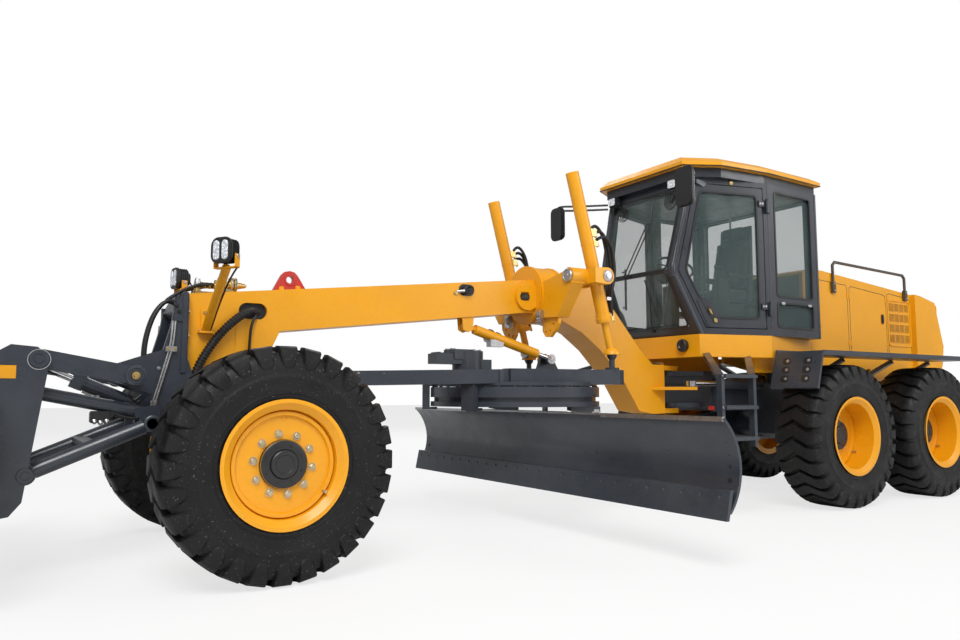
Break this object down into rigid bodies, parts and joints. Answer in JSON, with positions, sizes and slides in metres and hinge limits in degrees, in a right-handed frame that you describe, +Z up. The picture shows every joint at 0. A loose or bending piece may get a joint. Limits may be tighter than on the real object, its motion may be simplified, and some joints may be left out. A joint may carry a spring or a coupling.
{
  "type": "motor grader",
  "caption": "Articulated road grader with tandem rear wheels, a cab, leaning steered front wheels, a drawbar with a turning circle and curved blade, and a front dozer blade on a linkage.",
  "frame": {"origin": "middle of the tow hitch's pin bore at the rear, on the machine's centreline", "axes": "+X forward along the machine, +Y to its left, +Z up"},
  "size_m": [10.25, 3.965, 3.4843],
  "materials": {
    "yellow_paint": "gloss",
    "rim_paint": "gloss",
    "grey_paint": "satin",
    "cab_paint": "satin",
    "red_paint": "gloss",
    "tyre": "matt",
    "chrome_rod": "polished",
    "edge_steel": "satin",
    "window_glass": "clear",
    "cab_trim": "matt",
    "black_trim": "satin"
  },
  "bodies": {
    "rear_unit": {"rear_frame": "yellow_paint", "engine_block": "grey_paint", "tandem_cases": "grey_paint", "hood": "yellow_paint", "belt_skirt": "yellow_paint", "cab_shell": "cab_paint", "cab_roof": "yellow_paint", "cab_glass": "window_glass", "cab_interior": "cab_trim", "fenders": "grey_paint", "ladders": "grey_paint", "handrails": "grey_paint", "cab_fittings": "black_trim"},
    "door_left": {"door_left": "cab_paint", "door_glass_left": "window_glass"},
    "door_right": {"door_right": "cab_paint", "door_glass_right": "window_glass"},
    "front_unit": {"front_frame": "yellow_paint", "saddle": "yellow_paint", "front_axle": "grey_paint", "front_bracket": "grey_paint", "work_lamps": "black_trim", "lifting_lug": "red_paint"},
    "wheel_rear_front_left": {"tyre_rear_front_left": "tyre", "rim_rear_front_left": "rim_paint"},
    "wheel_rear_front_right": {"tyre_rear_front_right": "tyre", "rim_rear_front_right": "rim_paint"},
    "wheel_rear_back_left": {"tyre_rear_back_left": "tyre", "rim_rear_back_left": "rim_paint"},
    "wheel_rear_back_right": {"tyre_rear_back_right": "tyre", "rim_rear_back_right": "rim_paint"},
    "wheel_front_left": {"tyre_front_left": "tyre", "rim_front_left": "rim_paint"},
    "wheel_front_right": {"tyre_front_right": "tyre", "rim_front_right": "rim_paint"},
    "articulation_rod_left": {"articulation_rod_left": "chrome_rod"},
    "articulation_rod_right": {"articulation_rod_right": "chrome_rod"},
    "lean_fork_left": {"lean_fork_left": "grey_paint"},
    "lean_fork_right": {"lean_fork_right": "grey_paint"},
    "lean_bar": {"lean_bar": "yellow_paint"},
    "knuckle_left": {"knuckle_left": "grey_paint"},
    "knuckle_right": {"knuckle_right": "grey_paint"},
    "lift_barrel_left": {"lift_barrel_left": "yellow_paint"},
    "lift_barrel_right": {"lift_barrel_right": "yellow_paint"},
    "lift_rod_left": {"lift_rod_left": "chrome_rod"},
    "lift_rod_right": {"lift_rod_right": "chrome_rod"},
    "centre_shift_barrel": {"centre_shift_barrel": "yellow_paint"},
    "centre_shift_rod": {"centre_shift_rod": "chrome_rod"},
    "drawbar": {"drawbar": "grey_paint"},
    "circle": {"circle": "grey_paint"},
    "front_arms": {"front_arms": "grey_paint"},
    "front_link": {"front_link": "grey_paint"},
    "front_ram_barrel": {"front_ram_barrel": "grey_paint"},
    "front_ram_rod": {"front_ram_rod": "chrome_rod"},
    "dozer_blade": {"dozer_blade": "grey_paint"},
    "pitch_carrier": {"tilt_frame": "grey_paint"},
    "moldboard": {"moldboard": "grey_paint", "cutting_edge": "edge_steel", "side_shift_rod": "chrome_rod"}
  },
  "joints": [
    {"name": "door_left_hinge", "type": "hinge", "parent": "rear_unit", "child": "door_left", "pos_m": [3.6565, 0.8094, 1.54], "axis": [0, 0, 1], "range_deg": [0, 85]},
    {"name": "door_right_hinge", "type": "hinge", "parent": "rear_unit", "child": "door_right", "pos_m": [3.6565, -0.8094, 1.54], "axis": [0, 0, -1], "range_deg": [0, 85]},
    {"name": "wheel_rear_front_left_spin", "type": "hinge", "parent": "rear_unit", "child": "wheel_rear_front_left", "pos_m": [3.099, 1.078, -0.11], "axis": [0, 1, 0], "continuous": true},
    {"name": "wheel_rear_front_right_spin", "type": "hinge", "parent": "rear_unit", "child": "wheel_rear_front_right", "pos_m": [3.099, -1.078, -0.11], "axis": [0, 1, 0], "continuous": true},
    {"name": "wheel_rear_back_left_spin", "type": "hinge", "parent": "rear_unit", "child": "wheel_rear_back_left", "pos_m": [1.561, 1.078, -0.11], "axis": [0, 1, 0], "continuous": true},
    {"name": "wheel_rear_back_right_spin", "type": "hinge", "parent": "rear_unit", "child": "wheel_rear_back_right", "pos_m": [1.561, -1.078, -0.11], "axis": [0, 1, 0], "continuous": true},
    {"name": "articulation", "type": "hinge", "parent": "rear_unit", "child": "front_unit", "pos_m": [4.23, 0, 0.34], "axis": [0, 0, 1], "range_deg": [-27, 27]},
    {"name": "articulation_rod_left_slide", "type": "slide", "parent": "rear_unit", "child": "articulation_rod_left", "axis": [1, 0, 0], "range_m": [-0.21, 0.21]},
    {"name": "articulation_rod_right_slide", "type": "slide", "parent": "rear_unit", "child": "articulation_rod_right", "axis": [1, 0, 0], "range_m": [-0.21, 0.21]},
    {"name": "lean_left", "type": "hinge", "parent": "front_unit", "child": "lean_fork_left", "pos_m": [8.549, 0.66, -0.26], "axis": [1, 0, 0], "range_deg": [-17, 17]},
    {"name": "lean_right", "type": "hinge", "parent": "front_unit", "child": "lean_fork_right", "pos_m": [8.549, -0.66, -0.26], "axis": [1, 0, 0], "range_deg": [-17, 17]},
    {"name": "lean_bar_slide", "type": "slide", "parent": "front_unit", "child": "lean_bar", "axis": [0, 1, 0], "range_m": [-0.125, 0.125]},
    {"name": "steer_left", "type": "hinge", "parent": "lean_fork_left", "child": "knuckle_left", "pos_m": [8.549, 0.83, -0.11], "axis": [0, 0, 1], "range_deg": [-45, 45]},
    {"name": "steer_right", "type": "hinge", "parent": "lean_fork_right", "child": "knuckle_right", "pos_m": [8.549, -0.83, -0.11], "axis": [0, 0, 1], "range_deg": [-45, 45]},
    {"name": "wheel_front_left_spin", "type": "hinge", "parent": "knuckle_left", "child": "wheel_front_left", "pos_m": [8.549, 1.078, -0.11], "axis": [0, 1, 0], "continuous": true},
    {"name": "wheel_front_right_spin", "type": "hinge", "parent": "knuckle_right", "child": "wheel_front_right", "pos_m": [8.549, -1.078, -0.11], "axis": [0, 1, 0], "continuous": true},
    {"name": "drawbar_lift", "type": "hinge", "parent": "front_unit", "child": "drawbar", "pos_m": [8.33, 0, 0.39], "axis": [0, 1, 0], "range_deg": [-21, 4]},
    {"name": "lift_swing_left", "type": "hinge", "parent": "front_unit", "child": "lift_barrel_left", "pos_m": [5.682, 0.6, 1.26], "axis": [0, 1, 0], "range_deg": [-14, 3]},
    {"name": "lift_slide_left", "type": "slide", "parent": "lift_barrel_left", "child": "lift_rod_left", "axis": [-0.26, 0, -0.9656], "range_m": [-0.2, 1.02]},
    {"name": "lift_swing_right", "type": "hinge", "parent": "front_unit", "child": "lift_barrel_right", "pos_m": [5.682, -0.6, 1.26], "axis": [0, 1, 0], "range_deg": [-14, 3]},
    {"name": "lift_slide_right", "type": "slide", "parent": "lift_barrel_right", "child": "lift_rod_right", "axis": [-0.26, 0, -0.9656], "range_m": [-0.2, 1.02]},
    {"name": "centre_shift_swing", "type": "hinge", "parent": "front_unit", "child": "centre_shift_barrel", "pos_m": [6.66, 0.095, 0.845], "axis": [0, 1, 0], "range_deg": [-47, 10]},
    {"name": "centre_shift_slide", "type": "slide", "parent": "centre_shift_barrel", "child": "centre_shift_rod", "axis": [-0.9605, 0, -0.2783], "range_m": [-0.11, 0.53]},
    {"name": "circle_turn", "type": "hinge", "parent": "drawbar", "child": "circle", "pos_m": [6.1, 0, 0.26], "axis": [0, 0, -1], "range_deg": [-40, 45]},
    {"name": "blade_pitch", "type": "hinge", "parent": "circle", "child": "pitch_carrier", "pos_m": [6.09, 0, -0.36], "axis": [0, 1, 0], "range_deg": [-20, 20]},
    {"name": "side_shift", "type": "slide", "parent": "pitch_carrier", "child": "moldboard", "axis": [0, 1, 0], "range_m": [-0.92, 0.08]},
    {"name": "front_lift", "type": "hinge", "parent": "front_unit", "child": "front_arms", "pos_m": [9.11, 0, 0.1], "axis": [0, -1, 0], "range_deg": [-27, 12]},
    {"name": "dozer_level", "type": "hinge", "parent": "front_arms", "child": "dozer_blade", "pos_m": [9.78, 0, -0.174], "axis": [0, -1, 0], "range_deg": [-6, 13]},
    {"name": "front_link_swing", "type": "hinge", "parent": "front_unit", "child": "front_link", "pos_m": [9.22, 0, 0.395], "axis": [0, -1, 0], "range_deg": [-34, 16]},
    {"name": "front_ram_swing", "type": "hinge", "parent": "front_unit", "child": "front_ram_barrel", "pos_m": [9.13, 0.13, 0.195], "axis": [0, -1, 0], "range_deg": [-28, 13]},
    {"name": "front_ram_slide", "type": "slide", "parent": "front_ram_barrel", "child": "front_ram_rod", "axis": [0.9138, 0, 0.4061], "range_m": [-0.095, 0.045]}
  ],
  "couplings": [
    {"joint": "articulation_rod_left_slide", "follows": "articulation", "m_per_rad": -0.411},
    {"joint": "articulation_rod_right_slide", "follows": "articulation", "m_per_rad": 0.411},
    {"joint": "lean_right", "follows": "lean_left", "ratio": 1},
    {"joint": "lean_bar_slide", "follows": "lean_left", "m_per_rad": -0.4},
    {"joint": "steer_right", "follows": "steer_left", "ratio": 1},
    {"joint": "lift_swing_left", "follows": "drawbar_lift", "ratio": 0.6327},
    {"joint": "lift_swing_right", "follows": "drawbar_lift", "ratio": 0.6327},
    {"joint": "lift_slide_left", "follows": "drawbar_lift", "m_per_rad": -2.7536},
    {"joint": "lift_slide_right", "follows": "drawbar_lift", "m_per_rad": -2.7536},
    {"joint": "centre_shift_swing", "follows": "drawbar_lift", "ratio": 2.0715},
    {"joint": "centre_shift_slide", "follows": "drawbar_lift", "m_per_rad": -1.2822},
    {"joint": "dozer_level", "follows": "front_lift", "ratio": -0.45},
    {"joint": "front_link_swing", "follows": "front_lift", "ratio": 1.2},
    {"joint": "front_ram_swing", "follows": "front_lift", "ratio": 0.958},
    {"joint": "front_ram_slide", "follows": "front_lift", "m_per_rad": 0.19}
  ]
}
